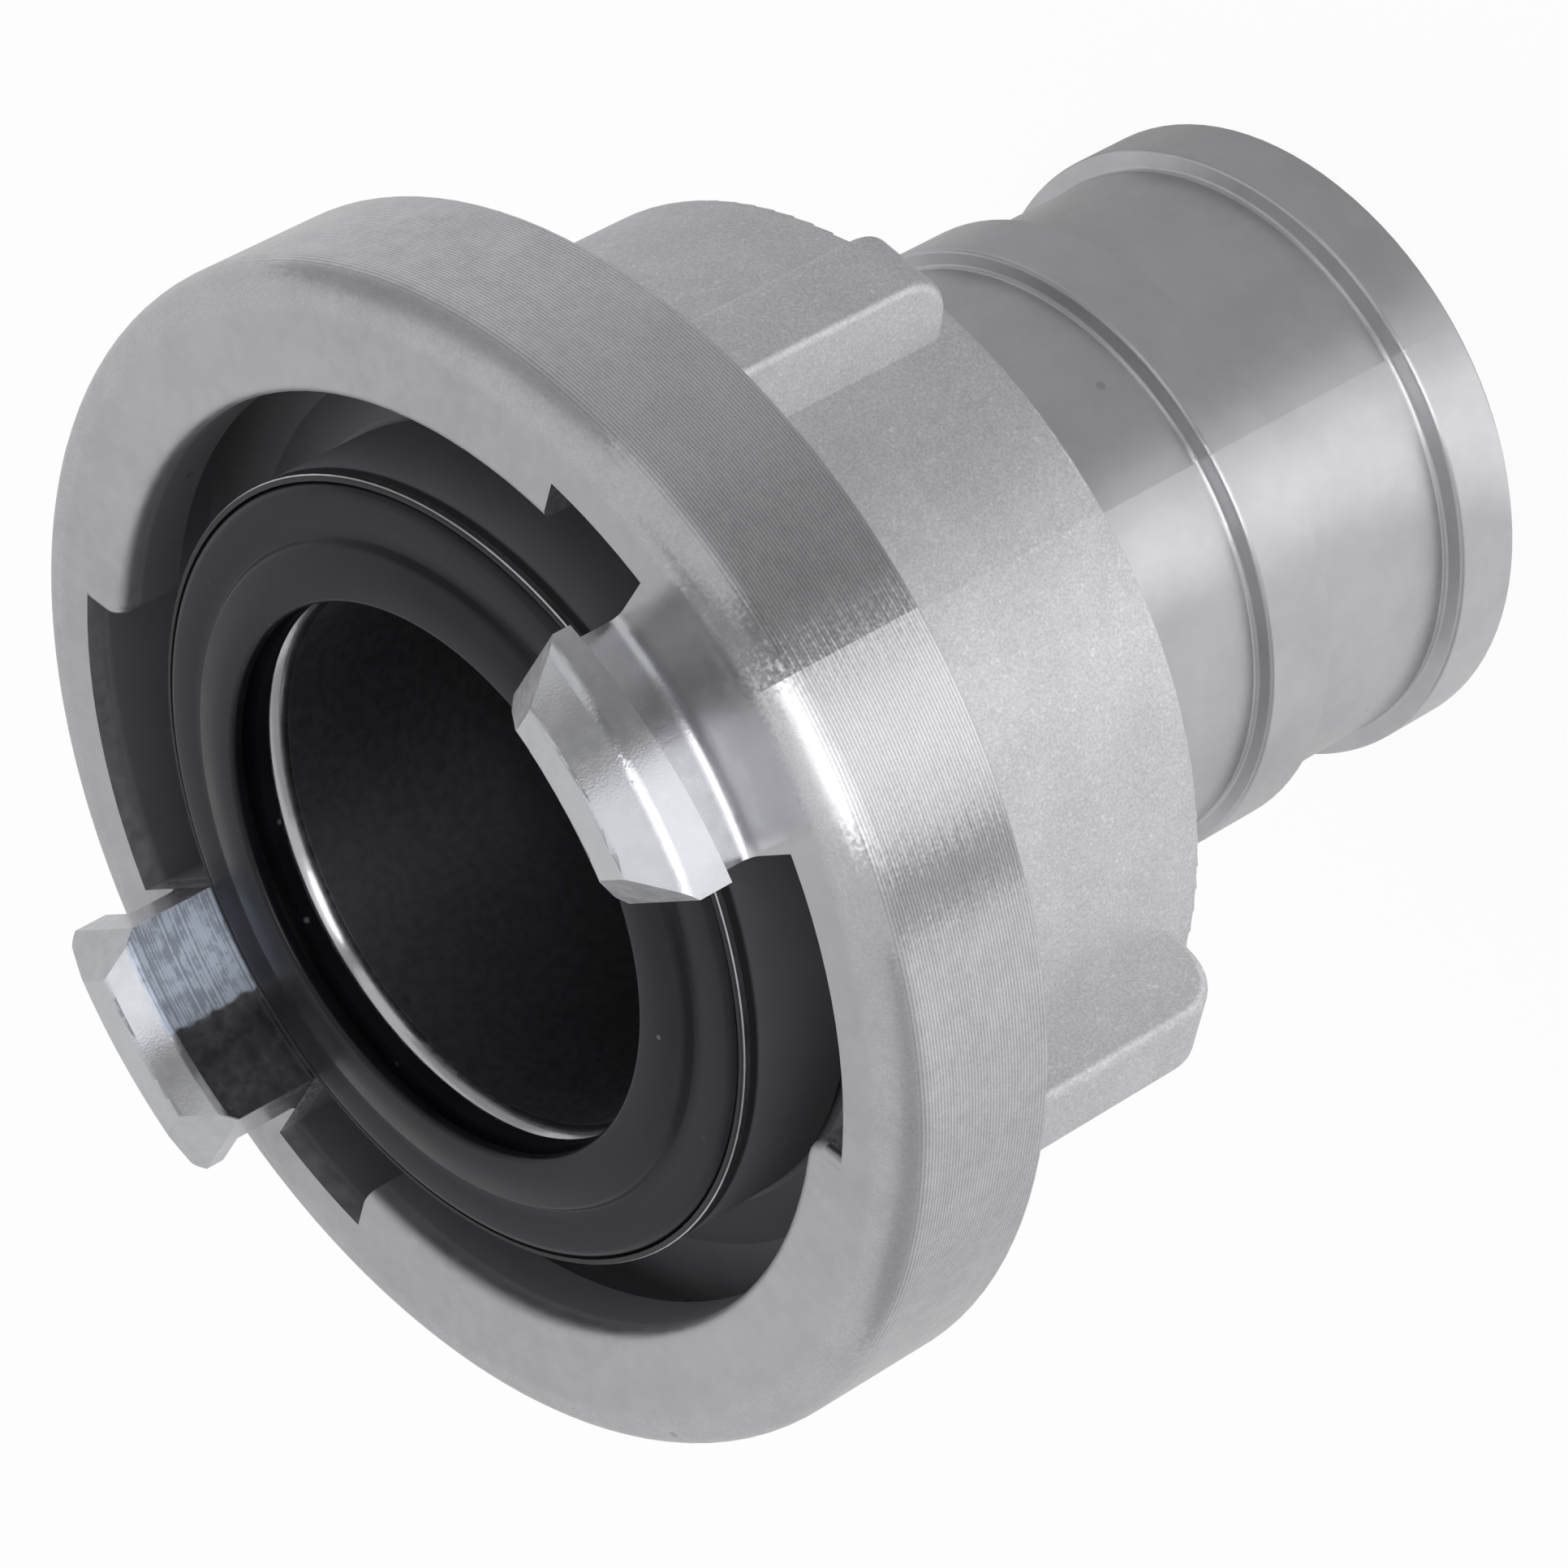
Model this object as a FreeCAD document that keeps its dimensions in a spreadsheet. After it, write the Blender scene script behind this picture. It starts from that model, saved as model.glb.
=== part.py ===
import FreeCAD, Part
import Sketcher
import math
import os

# Quarter turn fire hose coupling, millimetres, standing on the end of its hose tail.
# The axis is Z, the claws point up, and the first claw lies on the +X side.

os.makedirs("parts", exist_ok=True)
doc = FreeCAD.newDocument("coupling")
sheet = doc.addObject("Spreadsheet::Sheet", "dims")

# Sizes that are chosen, one a line
CHOSEN = {
    # heights above the tail end and lengths below the ring's front face
    "face_height": 90.5,
    "ring_width": 15.1,
    "back_wall": 2.6,
    "collar_reach": 41.6,
    "lip_thick": 6.1,
    "hub_rise": 1.4,
    # radii, each built on the one inside it
    "waterway_rad": 22.5,
    "tail_wall": 2.4,
    "barb_low_step": 1.7,
    "barb_high_step": 1.5,
    "journal_step": 3.1,
    "run_gap": 0.05,
    "hub_wide": 4.95,
    "hub_slope_wide": 3.9,
    "claw_wide": 4.9,
    "hook_wide": 3.7,
    "hook_clear": 1.05,
    "lip_wide": 5.8,
    "ring_wall": 6.35,
    "collar_wall": 5.6,
    "rib_drop": 4.0,
    # claws, heights above the front face
    "claw_angle": 30.0,
    "hook_gap": 5.6,
    "hook_tilt": 3.9,
    "nose_reach": 11.1,
    "nose_out_wide": 3.4,
    "nose_out_high": 2.3,
    "nose_in_wide": 2.1,
    "nose_in_high": 2.2,
    "end_start": 8.0,
    "block_bite": 0.8,
    "cut_spare": 1.0,
    # windows beside each claw, angles from the middle of the claw
    "window_wide_angle": 50.0,
    "window_narrow_angle": 28.7,
    # wrench ribs
    "rib_top_half": 3.3,
    "rib_foot_half": 4.1,
    "rib_turn": 32.2,
    "rib_bite": 2.0,
    "rib_set_in": 2.2,
    # hose tail
    "barb_low_end": 6.2,
    "barb_low_foot": 6.5,
    "barb_high_start": 21.5,
    "barb_high_end": 28.0,
    "barb_high_foot": 28.3,
    "journal_tail_gap": 4.0,
    "flange_gap": 0.4,
    "flange_proud": 0.4,
    "rim_wall": 0.5,
    "seat_deep": 1.65,
    "shoulder_gap": 0.1,
    # seal
    "seal_gap": 0.3,
    "seal_proud": 2.0,
    "seal_face_fall": 0.5,
    "seal_flat_wide": 2.2,
    "seal_band_wide": 4.0,
    "seal_band_high": 0.9,
    "seal_step_slope": 0.4,
    "seal_inner_step": 0.4,
    "seal_groove_deep": 2.0,
    "seal_lip": 1.1,
    # retaining ring
    "snap_high": 2.4,
    "snap_wide": 3.0,
    "snap_rise": 9.6,
    "snap_squeeze": 1.1,
    "snap_air": 0.4,
    "snap_side_gap": 0.15,
    "snap_opening_angle": 24.0,
    # roundings and broken edges
    "front_round": 3.0,
    "rear_round": 1.4,
    "collar_round": 0.5,
    "ring_break": 0.5,
    "lip_round": 1.1,
    "corner_round": 1.6,
    "rib_end_round": 4.7,
    "rib_long_round": 0.8,
    "nose_round": 1.0,
    "bevel_round": 0.8,
    "neck_round": 1.0,
    "barb_round": 0.4,
    "mouth_round": 1.65,
    "tail_break": 0.4,
    "rim_break": 0.2,
    "flange_break": 0.7,
    "seal_round": 0.5,
    "seal_edge": 0.3,
    # how many times a feature is repeated around the axis
    "claw_count": 2,
    "rib_count": 4,
    "zero": 0.0,
}

# Sizes that follow from the chosen ones
WORKED = {
    "ring_rear": "=face_height - ring_width",
    "collar_rear": "=face_height - collar_reach",
    "lip_rear": "=face_height - lip_thick",
    "chamber_floor": "=ring_rear + back_wall",
    "hub_top": "=chamber_floor + hub_rise",
    "tail_rad": "=waterway_rad + tail_wall",
    "barb_low_rad": "=tail_rad + barb_low_step",
    "barb_high_rad": "=tail_rad + barb_high_step",
    "journal_rad": "=tail_rad + journal_step",
    "bore_rad": "=journal_rad + run_gap",
    "claw_inner_rad": "=bore_rad + hub_wide",
    "hub_foot_rad": "=claw_inner_rad + hub_slope_wide",
    "neck_rad": "=claw_inner_rad + claw_wide",
    "lip_rad": "=claw_inner_rad + lip_wide",
    "hook_rad": "=neck_rad + hook_wide",
    "chamber_rad": "=hook_rad + hook_clear",
    "ring_rad": "=chamber_rad + ring_wall",
    "collar_rad": "=claw_inner_rad + collar_wall",
    "rib_rad": "=ring_rad - rib_drop",
    "block_base": "=chamber_floor - cut_spare",
    "block_rad": "=chamber_rad + block_bite",
    "nose_top": "=face_height + nose_reach",
    "hook_edge": "=nose_top - nose_out_high",
    "nose_out_rad": "=hook_rad - nose_out_wide",
    "nose_in_foot": "=nose_top - nose_in_high",
    "nose_in_rad": "=claw_inner_rad + nose_in_wide",
    "hook_back": "=face_height + hook_gap",
    "undercut_far": "=block_rad + cut_spare",
    "undercut_half": "=hook_rad * sin(claw_angle * 1 deg / 2) + cut_spare",
    "end_low": "=face_height + end_start - cut_spare",
    "end_high": "=nose_top + cut_spare",
    "end_far": "=end_low - end_high + cut_spare",
    "end_turn": "=claw_angle / 2",
    "end_turn_back": "=0 - end_turn",
    "end_back": "=0 - cut_spare",
    "end_far_back": "=0 - end_far",
    "end_length": "=hook_rad + 2 * cut_spare",
    "cut_inner_rad": "=claw_inner_rad - 2 * cut_spare",
    "cut_base": "=lip_rear - cut_spare / 2",
    "cut_top": "=face_height + cut_spare",
    "cut_angle": "=window_wide_angle + window_narrow_angle",
    "cut_turn": "=(window_narrow_angle - window_wide_angle) / 2",
    "rib_inner": "=collar_rad - rib_bite",
    "rib_base": "=collar_rear + rib_set_in",
    "rib_length": "=ring_rear - rib_base + cut_spare",
    "rib_top_back": "=0 - rib_top_half",
    "rib_foot_back": "=0 - rib_foot_half",
    "flange_rad": "=claw_inner_rad - flange_gap",
    "flange_rear": "=hub_top + shoulder_gap",
    "flange_front": "=face_height + flange_proud",
    "journal_end": "=collar_rear + journal_tail_gap",
    "seat_rad": "=flange_rad - rim_wall",
    "seat_floor": "=face_height - seat_deep",
    "snap_low": "=collar_rear + snap_rise",
    "snap_top": "=snap_low + snap_high",
    "snap_inner": "=tail_rad + snap_squeeze",
    "snap_outer": "=snap_inner + snap_wide",
    "tail_groove_top": "=snap_top + snap_side_gap",
    "ring_groove_rad": "=snap_outer + snap_air",
    "ring_groove_low": "=snap_low - snap_side_gap",
    "ring_groove_top": "=snap_top + 2 * snap_side_gap",
    "snap_angle": "=360 - snap_opening_angle",
    "groove_in_rad": "=bore_rad - cut_spare",
    "groove_out_rad": "=journal_rad + cut_spare",
    "seal_outer": "=seat_rad - seal_gap",
    "seal_step_rad": "=seal_outer - seal_band_wide",
    "seal_face_rad": "=seal_step_rad - seal_step_slope",
    "seal_inner_rad": "=waterway_rad + seal_inner_step",
    "seal_band_top": "=face_height + seal_band_high",
    "seal_top": "=face_height + seal_proud",
    "seal_face_low": "=seal_top - seal_face_fall",
    "seal_flat_rad": "=seal_inner_rad + seal_flat_wide",
    "seal_groove_rad": "=seal_inner_rad + seal_groove_deep",
    "seal_lip_low": "=seal_top - seal_lip",
    "seal_foot_top": "=seat_floor + seal_lip",
}

for row, (word, value) in enumerate(CHOSEN.items(), start=1):
    sheet.set(f"A{row}", word)
    sheet.set(f"B{row}", str(value))
    sheet.setAlias(f"B{row}", word)
for row, (word, formula) in enumerate(WORKED.items(), start=len(CHOSEN) + 1):
    sheet.set(f"A{row}", word)
    sheet.set(f"B{row}", formula)
    sheet.setAlias(f"B{row}", word)
doc.recompute()


def size(word):
    return float(sheet.get(word))


def origin_plane(body, role):
    for item in body.Origin.OriginFeatures:
        if item.Role == role:
            return item
    raise ValueError(role)


def new_body(label):
    body = doc.addObject("PartDesign::Body", label)
    body.Label = label
    return body


def new_sketch(body, label, role):
    sketch = body.newObject("Sketcher::SketchObject", label)
    sketch.AttachmentSupport = (origin_plane(body, role), [""])
    sketch.MapMode = "FlatFace"
    return sketch


def outline(body, label, corners, role="XZ_Plane"):
    # closed outline in a half plane, each corner tied to a radius and a height
    sketch = new_sketch(body, label, role)
    spots = [FreeCAD.Vector(size(a), size(b), 0) for a, b in corners]
    count = len(spots)
    for index in range(count):
        sketch.addGeometry(Part.LineSegment(spots[index], spots[(index + 1) % count]), False)
    for index in range(count):
        sketch.addConstraint(Sketcher.Constraint("Coincident", index, 2, (index + 1) % count, 1))
    for index, (across, along) in enumerate(corners):
        number = sketch.addConstraint(
            Sketcher.Constraint("DistanceX", -1, 1, index, 1, spots[index].x)
        )
        sketch.setExpression(f"Constraints[{number}]", f"dims.{across}")
        number = sketch.addConstraint(
            Sketcher.Constraint("DistanceY", -1, 1, index, 1, spots[index].y)
        )
        sketch.setExpression(f"Constraints[{number}]", f"dims.{along}")
    return sketch


def turned(body, label, sketch, kind="PartDesign::Revolution", angle=None):
    feature = body.newObject(kind, label)
    feature.Profile = sketch
    feature.ReferenceAxis = (sketch, ["V_Axis"])
    if angle is None:
        feature.Angle = 360
    else:
        feature.Midplane = True
        feature.setExpression("Angle", f"dims.{angle}")
    sketch.Visibility = False
    doc.recompute()
    return feature


def repeated(body, label, features, count):
    pattern = body.newObject("PartDesign::PolarPattern", label)
    pattern.Originals = features
    pattern.Axis = (origin_plane(body, "Z_Axis"), [""])
    pattern.Angle = 360
    pattern.Occurrences = int(size(count))
    pattern.setExpression("Occurrences", f"dims.{count}")
    body.Tip = pattern
    doc.recompute()
    return pattern


def rings_at(shape, spots):
    # names of the round edges that lie at the given radius and height
    names = []
    for number, edge in enumerate(shape.Edges, start=1):
        curve = edge.Curve
        if not isinstance(curve, Part.Circle):
            continue
        for radius, height in spots:
            near = abs(curve.Radius - size(radius)) < 0.02
            level = abs(curve.Center.z - size(height)) < 0.02
            if near and level and abs(curve.Center.x) + abs(curve.Center.y) < 0.02:
                names.append(f"Edge{number}")
    return names


def rounded(body, label, base, names, word, kind="PartDesign::Fillet"):
    # fillet or chamfer whose size is the named value
    feature = body.newObject(kind, label)
    feature.Base = (base, names)
    if kind == "PartDesign::Fillet":
        feature.setExpression("Radius", f"dims.{word}")
    else:
        feature.setExpression("Size", f"dims.{word}")
    body.Tip = feature
    doc.recompute()
    return feature


def bevelled(body, label, base, names, word):
    return rounded(body, label, base, names, word, "PartDesign::Chamfer")


# Claw ring: turned body with the lip, the chamber behind it, the hub and the collar
ring = new_body("claw_ring")
ring_sketch = outline(
    ring,
    "ring_outline",
    [
        ("bore_rad", "collar_rear"),
        ("collar_rad", "collar_rear"),
        ("collar_rad", "ring_rear"),
        ("ring_rad", "ring_rear"),
        ("ring_rad", "face_height"),
        ("lip_rad", "face_height"),
        ("lip_rad", "lip_rear"),
        ("chamber_rad", "lip_rear"),
        ("chamber_rad", "chamber_floor"),
        ("hub_foot_rad", "chamber_floor"),
        ("claw_inner_rad", "hub_top"),
        ("bore_rad", "hub_top"),
    ],
)
ring_turned = turned(ring, "ring_turned", ring_sketch)

# Rounded edges of the turned body
front_edge = rings_at(ring_turned.Shape, [("ring_rad", "face_height")])
front_rounding = rounded(ring, "front_rounding", ring_turned, front_edge, "front_round")
rear_edge = rings_at(front_rounding.Shape, [("collar_rad", "ring_rear")])
rear_rounding = rounded(ring, "rear_rounding", front_rounding, rear_edge, "rear_round")
collar_edge = rings_at(rear_rounding.Shape, [("collar_rad", "collar_rear")])
collar_rounding = rounded(
    ring, "collar_rounding", rear_rounding, collar_edge, "collar_round"
)
sharp_spots = [("ring_rad", "ring_rear"), ("bore_rad", "collar_rear")]
sharp_edges = rings_at(collar_rounding.Shape, sharp_spots)
ring_bevel = bevelled(ring, "ring_bevel", collar_rounding, sharp_edges, "ring_break")

# Windows cut through the lip on both sides of each claw
window_sketch = outline(
    ring,
    "window_outline",
    [
        ("cut_inner_rad", "cut_base"),
        ("chamber_rad", "cut_base"),
        ("chamber_rad", "cut_top"),
        ("cut_inner_rad", "cut_top"),
    ],
)
window_sketch.AttachmentOffset = FreeCAD.Placement(
    FreeCAD.Vector(0, 0, 0), FreeCAD.Rotation(FreeCAD.Vector(0, 1, 0), size("cut_turn"))
)
window_sketch.setExpression(".AttachmentOffset.Rotation.Angle", "dims.cut_turn")
window_cut = turned(ring, "window_cut", window_sketch, "PartDesign::Groove", "cut_angle")
windows = repeated(ring, "windows", [window_cut], "claw_count")


def lip_corners(shape):
    # upright edges of the lip at the far end of each wide window
    names = []
    for number, edge in enumerate(shape.Edges, start=1):
        box = edge.BoundBox
        middle = edge.CenterOfMass
        tall = box.ZMax - box.ZMin > size("lip_thick") - 0.1
        slim = box.XMax - box.XMin < 0.01 and box.YMax - box.YMin < 0.01
        near = abs(math.hypot(middle.x, middle.y) - size("lip_rad")) < 0.02
        angle = math.degrees(math.atan2(middle.y, middle.x)) + size("window_wide_angle")
        if tall and slim and near and abs((angle + 90) % 180 - 90) < 0.1:
            names.append(f"Edge{number}")
    return names


corner_rounding = rounded(
    ring, "corner_rounding", windows, lip_corners(windows.Shape), "corner_round"
)
lip_edges = rings_at(corner_rounding.Shape, [("lip_rad", "face_height")])
lip_rounding = rounded(ring, "lip_rounding", corner_rounding, lip_edges, "lip_round")

# Claws: block in the chamber, neck above the face, hook pointing outward
claw_sketch = outline(
    ring,
    "claw_outline",
    [
        ("claw_inner_rad", "block_base"),
        ("block_rad", "block_base"),
        ("block_rad", "face_height"),
        ("hook_rad", "face_height"),
        ("hook_rad", "hook_edge"),
        ("nose_out_rad", "nose_top"),
        ("nose_in_rad", "nose_top"),
        ("claw_inner_rad", "nose_in_foot"),
    ],
)
claw = turned(ring, "claw", claw_sketch, "PartDesign::Revolution", "claw_angle")

# Space under the hook, closed above by a plane that climbs along the hook
hook_plane = ring.newObject("PartDesign::Plane", "hook_plane")
hook_plane.AttachmentSupport = (origin_plane(ring, "XY_Plane"), [""])
hook_plane.MapMode = "FlatFace"
hook_plane.AttachmentOffset = FreeCAD.Placement(
    FreeCAD.Vector(0, 0, size("hook_back")),
    FreeCAD.Rotation(FreeCAD.Vector(1, 0, 0), size("hook_tilt")),
)
hook_plane.setExpression(".AttachmentOffset.Base.z", "dims.hook_back")
hook_plane.setExpression(".AttachmentOffset.Rotation.Angle", "dims.hook_tilt")
under_sketch = new_sketch(ring, "under_outline", "XY_Plane")
under_sketch.AttachmentOffset = FreeCAD.Placement(
    FreeCAD.Vector(0, 0, size("face_height")), FreeCAD.Rotation()
)
under_sketch.setExpression(".AttachmentOffset.Base.z", "dims.face_height")
under_half = size("undercut_half")
under_far = size("undercut_far")
under_turn = math.asin(under_half / size("neck_rad"))
under_near = size("neck_rad") * math.cos(under_turn)
neck_circle = Part.Circle(
    FreeCAD.Vector(0, 0, 0), FreeCAD.Vector(0, 0, 1), size("neck_rad")
)
neck_arc = under_sketch.addGeometry(
    Part.ArcOfCircle(neck_circle, -under_turn, under_turn), False
)
under_corners = [
    FreeCAD.Vector(under_near, under_half, 0),
    FreeCAD.Vector(under_far, under_half, 0),
    FreeCAD.Vector(under_far, -under_half, 0),
    FreeCAD.Vector(under_near, -under_half, 0),
]
upper = under_sketch.addGeometry(Part.LineSegment(under_corners[0], under_corners[1]), False)
outer = under_sketch.addGeometry(Part.LineSegment(under_corners[1], under_corners[2]), False)
lower = under_sketch.addGeometry(Part.LineSegment(under_corners[2], under_corners[3]), False)
under_sketch.addConstraint(Sketcher.Constraint("Coincident", neck_arc, 3, -1, 1))
under_sketch.addConstraint(Sketcher.Constraint("Coincident", neck_arc, 2, upper, 1))
under_sketch.addConstraint(Sketcher.Constraint("Coincident", upper, 2, outer, 1))
under_sketch.addConstraint(Sketcher.Constraint("Coincident", outer, 2, lower, 1))
under_sketch.addConstraint(Sketcher.Constraint("Coincident", lower, 2, neck_arc, 1))
under_sketch.addConstraint(Sketcher.Constraint("Horizontal", upper))
under_sketch.addConstraint(Sketcher.Constraint("Horizontal", lower))
under_sketch.addConstraint(Sketcher.Constraint("Symmetric", outer, 1, outer, 2, -1))
neck_size = under_sketch.addConstraint(
    Sketcher.Constraint("Radius", neck_arc, size("neck_rad"))
)
under_sketch.setExpression(f"Constraints[{neck_size}]", "dims.neck_rad")
far_size = under_sketch.addConstraint(
    Sketcher.Constraint("DistanceX", -1, 1, outer, 1, under_far)
)
under_sketch.setExpression(f"Constraints[{far_size}]", "dims.undercut_far")
half_size = under_sketch.addConstraint(
    Sketcher.Constraint("DistanceY", -1, 1, outer, 1, under_half)
)
under_sketch.setExpression(f"Constraints[{half_size}]", "dims.undercut_half")
undercut = ring.newObject("PartDesign::Pocket", "undercut")
undercut.Profile = under_sketch
undercut.Reversed = True
undercut.Type = "UpToFace"
undercut.UpToFace = (hook_plane, [""])
under_sketch.Visibility = False
ring.Tip = undercut
doc.recompute()


def end_cut(label, turn, corners):
    # slanted cut across the top of one claw end, along the radius
    sketch = outline(ring, label + "_outline", corners, "YZ_Plane")
    sketch.AttachmentOffset = FreeCAD.Placement(
        FreeCAD.Vector(0, 0, 0), FreeCAD.Rotation(FreeCAD.Vector(0, 1, 0), size(turn))
    )
    sketch.setExpression(".AttachmentOffset.Rotation.Angle", f"dims.{turn}")
    pocket = ring.newObject("PartDesign::Pocket", label)
    pocket.Profile = sketch
    pocket.Reversed = True
    pocket.setExpression("Length", "dims.end_length")
    sketch.Visibility = False
    ring.Tip = pocket
    doc.recompute()
    return pocket


leading_cut = end_cut(
    "leading_cut",
    "end_turn",
    [("cut_spare", "end_low"), ("cut_spare", "end_high"), ("end_far", "end_high")],
)
trailing_cut = end_cut(
    "trailing_cut",
    "end_turn_back",
    [("end_back", "end_low"), ("end_far_back", "end_high"), ("end_back", "end_high")],
)
claws = repeated(ring, "claws", [claw, undercut, leading_cut, trailing_cut], "claw_count")

# Wrench ribs on the collar
rib_sketch = outline(
    ring,
    "rib_outline",
    [
        ("rib_inner", "rib_foot_back"),
        ("rib_rad", "rib_top_back"),
        ("rib_rad", "rib_top_half"),
        ("rib_inner", "rib_foot_half"),
    ],
    "XY_Plane",
)
rib_sketch.AttachmentOffset = FreeCAD.Placement(
    FreeCAD.Vector(0, 0, size("rib_base")),
    FreeCAD.Rotation(FreeCAD.Vector(0, 0, 1), size("rib_turn")),
)
rib_sketch.setExpression(".AttachmentOffset.Base.z", "dims.rib_base")
rib_sketch.setExpression(".AttachmentOffset.Rotation.Angle", "dims.rib_turn")
rib = ring.newObject("PartDesign::Pad", "rib")
rib.Profile = rib_sketch
rib.setExpression("Length", "dims.rib_length")
rib_sketch.Visibility = False
ring.Tip = rib
doc.recompute()
ribs = repeated(ring, "ribs", [rib], "rib_count")


def rib_end_edges(shape):
    names = []
    for number, edge in enumerate(shape.Edges, start=1):
        box = edge.BoundBox
        middle = edge.CenterOfMass
        flat = abs(box.ZMax - box.ZMin) < 0.01
        at_end = abs(middle.z - size("rib_base")) < 0.02
        out = abs(math.hypot(middle.x, middle.y) - size("rib_rad")) < 0.3
        if flat and at_end and out:
            names.append(f"Edge{number}")
    return names


def rib_long_edges(shape):
    names = []
    for number, edge in enumerate(shape.Edges, start=1):
        box = edge.BoundBox
        middle = edge.CenterOfMass
        along = box.ZMax - box.ZMin > size("rib_length") / 3
        below = box.ZMax < size("ring_rear") + 0.1
        out = math.hypot(middle.x, middle.y) > size("rib_rad") - 0.3
        if along and below and out:
            names.append(f"Edge{number}")
    return names


rib_ends = rounded(ring, "rib_ends", ribs, rib_end_edges(ribs.Shape), "rib_end_round")
rib_sides = rounded(
    ring, "rib_sides", rib_ends, rib_long_edges(rib_ends.Shape), "rib_long_round"
)

# Rounded creases of the claw nose and the small corner where the neck meets the face
nose_spots = [("hook_rad", "hook_edge"), ("nose_out_rad", "nose_top")]
nose_edges = rings_at(rib_sides.Shape, nose_spots)
nose_rounding = rounded(ring, "nose_rounding", rib_sides, nose_edges, "nose_round")
bevel_spots = [("nose_in_rad", "nose_top"), ("claw_inner_rad", "nose_in_foot")]
bevel_edges = rings_at(nose_rounding.Shape, bevel_spots)
bevel_rounding = rounded(ring, "bevel_rounding", nose_rounding, bevel_edges, "bevel_round")
neck_edges = rings_at(bevel_rounding.Shape, [("neck_rad", "face_height")])
neck_rounding = rounded(ring, "neck_rounding", bevel_rounding, neck_edges, "neck_round")

# Groove in the bore for the retaining ring
bore_groove_sketch = outline(
    ring,
    "bore_groove_outline",
    [
        ("groove_in_rad", "ring_groove_low"),
        ("ring_groove_rad", "ring_groove_low"),
        ("ring_groove_rad", "ring_groove_top"),
        ("groove_in_rad", "ring_groove_top"),
    ],
)
bore_groove = turned(ring, "bore_groove", bore_groove_sketch, "PartDesign::Groove")
ring.Tip = bore_groove

# Hose tail: flange with the seal seat, journal, neck and two hose barbs
tail = new_body("hose_tail")
tail_sketch = outline(
    tail,
    "tail_outline",
    [
        ("waterway_rad", "zero"),
        ("barb_low_rad", "zero"),
        ("barb_low_rad", "barb_low_end"),
        ("tail_rad", "barb_low_foot"),
        ("tail_rad", "barb_high_start"),
        ("barb_high_rad", "barb_high_start"),
        ("barb_high_rad", "barb_high_end"),
        ("tail_rad", "barb_high_foot"),
        ("tail_rad", "journal_end"),
        ("journal_rad", "journal_end"),
        ("journal_rad", "flange_rear"),
        ("flange_rad", "flange_rear"),
        ("flange_rad", "flange_front"),
        ("seat_rad", "flange_front"),
        ("seat_rad", "seat_floor"),
        ("waterway_rad", "seat_floor"),
    ],
)
tail_turned = turned(tail, "tail_turned", tail_sketch)
barb_spots = [
    ("barb_low_rad", "barb_low_end"),
    ("tail_rad", "barb_low_foot"),
    ("barb_high_rad", "barb_high_end"),
    ("tail_rad", "barb_high_foot"),
]
barb_edges = rings_at(tail_turned.Shape, barb_spots)
barb_rounding = rounded(tail, "barb_rounding", tail_turned, barb_edges, "barb_round")
mouth_edge = rings_at(barb_rounding.Shape, [("waterway_rad", "seat_floor")])
mouth_rounding = rounded(tail, "mouth_rounding", barb_rounding, mouth_edge, "mouth_round")
end_spots = [("barb_low_rad", "zero"), ("waterway_rad", "zero")]
end_edges = rings_at(mouth_rounding.Shape, end_spots)
end_bevel = bevelled(tail, "end_bevel", mouth_rounding, end_edges, "tail_break")
rim_edges = rings_at(end_bevel.Shape, [("flange_rad", "flange_front")])
rim_bevel = bevelled(tail, "rim_bevel", end_bevel, rim_edges, "rim_break")
flange_edges = rings_at(rim_bevel.Shape, [("flange_rad", "flange_rear")])
flange_bevel = bevelled(tail, "flange_bevel", rim_bevel, flange_edges, "flange_break")
tail_groove_sketch = outline(
    tail,
    "tail_groove_outline",
    [
        ("tail_rad", "snap_low"),
        ("groove_out_rad", "snap_low"),
        ("groove_out_rad", "tail_groove_top"),
        ("tail_rad", "tail_groove_top"),
    ],
)
tail_groove = turned(tail, "tail_groove", tail_groove_sketch, "PartDesign::Groove")
tail.Tip = tail_groove

# Seal: outer band, raised ring with a flat face that falls outward, and a groove behind the inner lip
seal = new_body("seal_ring")
seal_sketch = outline(
    seal,
    "seal_outline",
    [
        ("seal_inner_rad", "seat_floor"),
        ("seal_outer", "seat_floor"),
        ("seal_outer", "seal_band_top"),
        ("seal_step_rad", "seal_band_top"),
        ("seal_face_rad", "seal_face_low"),
        ("seal_flat_rad", "seal_top"),
        ("seal_inner_rad", "seal_top"),
        ("seal_inner_rad", "seal_lip_low"),
        ("seal_groove_rad", "seal_lip_low"),
        ("seal_groove_rad", "seal_foot_top"),
        ("seal_inner_rad", "seal_foot_top"),
    ],
)
seal_turned = turned(seal, "seal_turned", seal_sketch)
band_edges = rings_at(seal_turned.Shape, [("seal_outer", "seal_band_top")])
band_rounding = rounded(seal, "band_rounding", seal_turned, band_edges, "seal_round")
face_spots = [("seal_face_rad", "seal_face_low"), ("seal_inner_rad", "seal_top")]
face_edges = rings_at(band_rounding.Shape, face_spots)
face_rounding = rounded(seal, "face_rounding", band_rounding, face_edges, "seal_edge")

# Retaining ring: open spring ring between the tail and the claw ring
snap = new_body("snap_ring")
snap_sketch = outline(
    snap,
    "snap_outline",
    [
        ("snap_inner", "snap_low"),
        ("snap_outer", "snap_low"),
        ("snap_outer", "snap_top"),
        ("snap_inner", "snap_top"),
    ],
)
snap_turned = turned(snap, "snap_turned", snap_sketch, "PartDesign::Revolution", "snap_angle")

doc.recompute()

for item in doc.Objects:
    state = list(item.State)
    if "Invalid" in state or "Error" in state:
        raise RuntimeError(f"{item.Name} {state}")

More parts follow.
